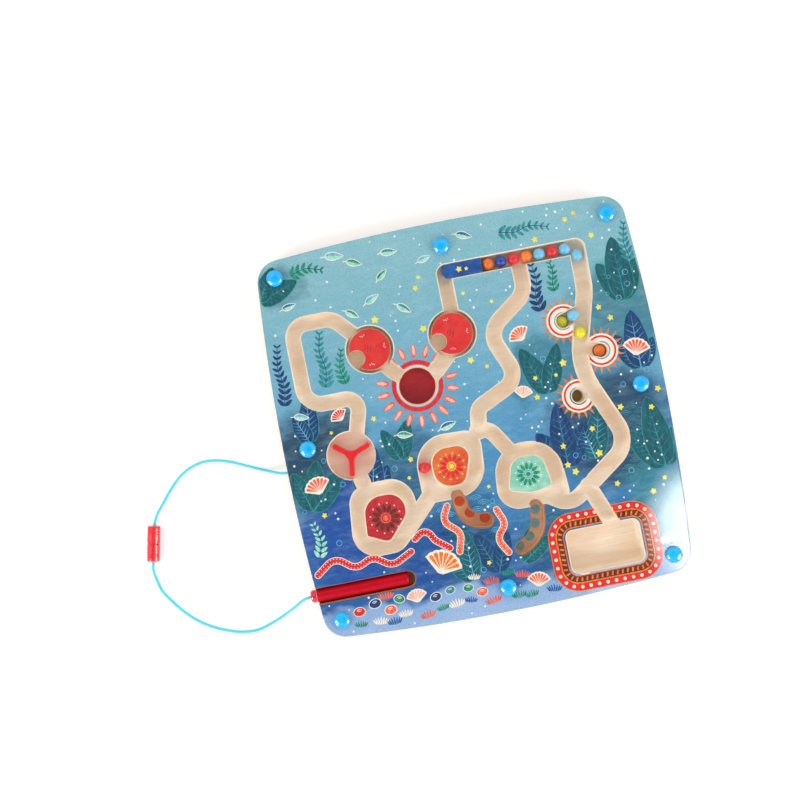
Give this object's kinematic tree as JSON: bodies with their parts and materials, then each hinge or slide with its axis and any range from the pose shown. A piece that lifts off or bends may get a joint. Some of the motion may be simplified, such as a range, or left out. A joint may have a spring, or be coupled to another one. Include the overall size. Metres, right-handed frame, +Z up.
{
  "type": "magnetic maze board",
  "caption": "Flat wooden maze toy with routed grooves under a clear cover, turning discs, a spinner, a sliding bar, loose balls and a magnet stylus on a cord.",
  "frame": {"origin": "centre of the flat underside", "axes": "+X to the right of the board, +Y up the board, +Z up out of the printed face"},
  "size_m": [0.4226, 0.3066, 0.0242],
  "materials": {
    "plain_wood": "bare plywood",
    "printed_wood": "printed face over bare routed plywood",
    "red_print": "printed face",
    "orange_print": "printed face",
    "mint_print": "printed face",
    "clear_sheet": "clear glossy sheet",
    "sky_blue": "glossy",
    "red_gloss": "glossy",
    "steel": "plain",
    "navy_gloss": "glossy",
    "orange_ball": "glossy",
    "navy_ball": "glossy",
    "red_ball": "glossy",
    "light_blue_ball": "glossy",
    "yellow_ball": "glossy",
    "yellow_green_ball": "glossy",
    "crimson": "lacquered",
    "bright_red": "glossy",
    "cord": "braided cord"
  },
  "bodies": {
    "board": {"base_panel": "plain_wood", "maze_floor": "plain_wood", "wall_bay": "printed_wood", "wall_centre": "printed_wood", "wall_upper_centre": "printed_wood", "wall_inner_upper": "printed_wood", "wall_inner_middle": "printed_wood", "wall_inner_lower": "printed_wood", "wall_bottom_right": "printed_wood", "wall_bottom_middle": "printed_wood", "wall_bottom_left": "printed_wood", "wall_top_right": "printed_wood", "wall_right": "printed_wood", "wall_top": "printed_wood", "wall_between_discs": "printed_wood", "wall_lower_right": "printed_wood", "wall_left_lower": "printed_wood", "wall_left": "printed_wood", "wall_top_left": "printed_wood", "island_left": "red_print", "island_middle": "orange_print", "island_right": "mint_print", "clear_cover": "clear_sheet", "pin_1": "sky_blue", "pin_2": "sky_blue", "pin_3": "sky_blue", "pin_4": "sky_blue", "pin_5": "sky_blue", "pin_6": "sky_blue", "pin_7": "sky_blue", "pin_8": "sky_blue", "left_disc_pivot": "steel", "right_disc_pivot": "steel", "spinner_pivot": "steel", "cord_upper": "cord", "cord_lower": "cord", "clasp_upper": "bright_red", "clasp_lower": "bright_red", "cord_anchor": "plain_wood"},
    "left_disc": {"left_disc": "red_gloss"},
    "right_disc": {"right_disc": "red_gloss"},
    "spinner": {"spinner": "red_gloss"},
    "slider_bar": {"slider_bar": "navy_gloss"},
    "row_ball_1": {"row_ball_1": "orange_ball"},
    "row_ball_2": {"row_ball_2": "navy_ball"},
    "row_ball_3": {"row_ball_3": "red_ball"},
    "row_ball_4": {"row_ball_4": "orange_ball"},
    "row_ball_5": {"row_ball_5": "light_blue_ball"},
    "row_ball_6": {"row_ball_6": "red_ball"},
    "row_ball_7": {"row_ball_7": "light_blue_ball"},
    "corner_ball": {"corner_ball": "light_blue_ball"},
    "upper_run_ball": {"upper_run_ball": "light_blue_ball"},
    "right_run_ball": {"right_run_ball": "yellow_ball"},
    "loop_ball": {"loop_ball": "red_ball"},
    "upper_pocket_ball": {"upper_pocket_ball": "yellow_green_ball"},
    "outer_pocket_ball": {"outer_pocket_ball": "orange_ball"},
    "stylus": {"stylus_barrel": "crimson", "stylus_cap": "bright_red", "stylus_magnet": "steel"}
  },
  "joints": [
    {"name": "left_disc_turn", "type": "hinge", "parent": "board", "child": "left_disc", "pos_m": [-0.06915, 0.06653, 0.01275], "axis": [0, 0, 1], "continuous": true},
    {"name": "right_disc_turn", "type": "hinge", "parent": "board", "child": "right_disc", "pos_m": [-0.0042, 0.06623, 0.01275], "axis": [0, 0, 1], "continuous": true},
    {"name": "spinner_turn", "type": "hinge", "parent": "board", "child": "spinner", "pos_m": [-0.099, -0.01119, 0.01275], "axis": [0, 0, 1], "continuous": true},
    {"name": "slider_slide", "type": "slide", "parent": "board", "child": "slider_bar", "axis": [1, 0, 0], "range_m": [0, 0.008]},
    {"name": "row_ball_1_roll", "type": "slide", "parent": "board", "child": "row_ball_1", "axis": [1, 0, 0], "range_m": [0, 0.008]},
    {"name": "row_ball_2_roll", "type": "slide", "parent": "board", "child": "row_ball_2", "axis": [1, 0, 0], "range_m": [0, 0.008]},
    {"name": "row_ball_3_roll", "type": "slide", "parent": "board", "child": "row_ball_3", "axis": [1, 0, 0], "range_m": [0, 0.008]},
    {"name": "row_ball_4_roll", "type": "slide", "parent": "board", "child": "row_ball_4", "axis": [1, 0, 0], "range_m": [0, 0.008]},
    {"name": "row_ball_5_roll", "type": "slide", "parent": "board", "child": "row_ball_5", "axis": [1, 0, 0], "range_m": [0, 0.008]},
    {"name": "row_ball_6_roll", "type": "slide", "parent": "board", "child": "row_ball_6", "axis": [1, 0, 0], "range_m": [0, 0.008]},
    {"name": "row_ball_7_roll", "type": "slide", "parent": "board", "child": "row_ball_7", "axis": [1, 0, 0], "range_m": [0, 0.008]},
    {"name": "corner_ball_roll", "type": "slide", "parent": "board", "child": "corner_ball", "axis": [0, -1, 0], "range_m": [0, 0.008]},
    {"name": "upper_run_ball_roll", "type": "slide", "parent": "board", "child": "upper_run_ball", "axis": [0.9522, 0.3055, 0], "range_m": [0, 0.006]},
    {"name": "right_run_ball_roll", "type": "slide", "parent": "board", "child": "right_run_ball", "axis": [-0.2666, -0.9638, 0], "range_m": [0, 0.01]},
    {"name": "loop_ball_roll", "type": "slide", "parent": "board", "child": "loop_ball", "axis": [0, -1, 0], "range_m": [0, 0.008]},
    {"name": "upper_pocket_ball_lift", "type": "slide", "parent": "board", "child": "upper_pocket_ball", "axis": [0, 0, 1], "range_m": [0, 0.0035]},
    {"name": "outer_pocket_ball_lift", "type": "slide", "parent": "board", "child": "outer_pocket_ball", "axis": [0, 0, 1], "range_m": [0, 0.0035]},
    {"name": "stylus_lift", "type": "slide", "parent": "board", "child": "stylus", "axis": [0, 0, 1], "range_m": [0, 0.05]}
  ],
  "couplings": [
    {"joint": "row_ball_1_roll", "follows": "slider_slide", "ratio": 1},
    {"joint": "row_ball_2_roll", "follows": "slider_slide", "ratio": 1},
    {"joint": "row_ball_3_roll", "follows": "slider_slide", "ratio": 1},
    {"joint": "row_ball_4_roll", "follows": "slider_slide", "ratio": 1},
    {"joint": "row_ball_5_roll", "follows": "slider_slide", "ratio": 1},
    {"joint": "row_ball_6_roll", "follows": "slider_slide", "ratio": 1},
    {"joint": "row_ball_7_roll", "follows": "slider_slide", "ratio": 1},
    {"joint": "corner_ball_roll", "follows": "slider_slide", "ratio": 1}
  ]
}
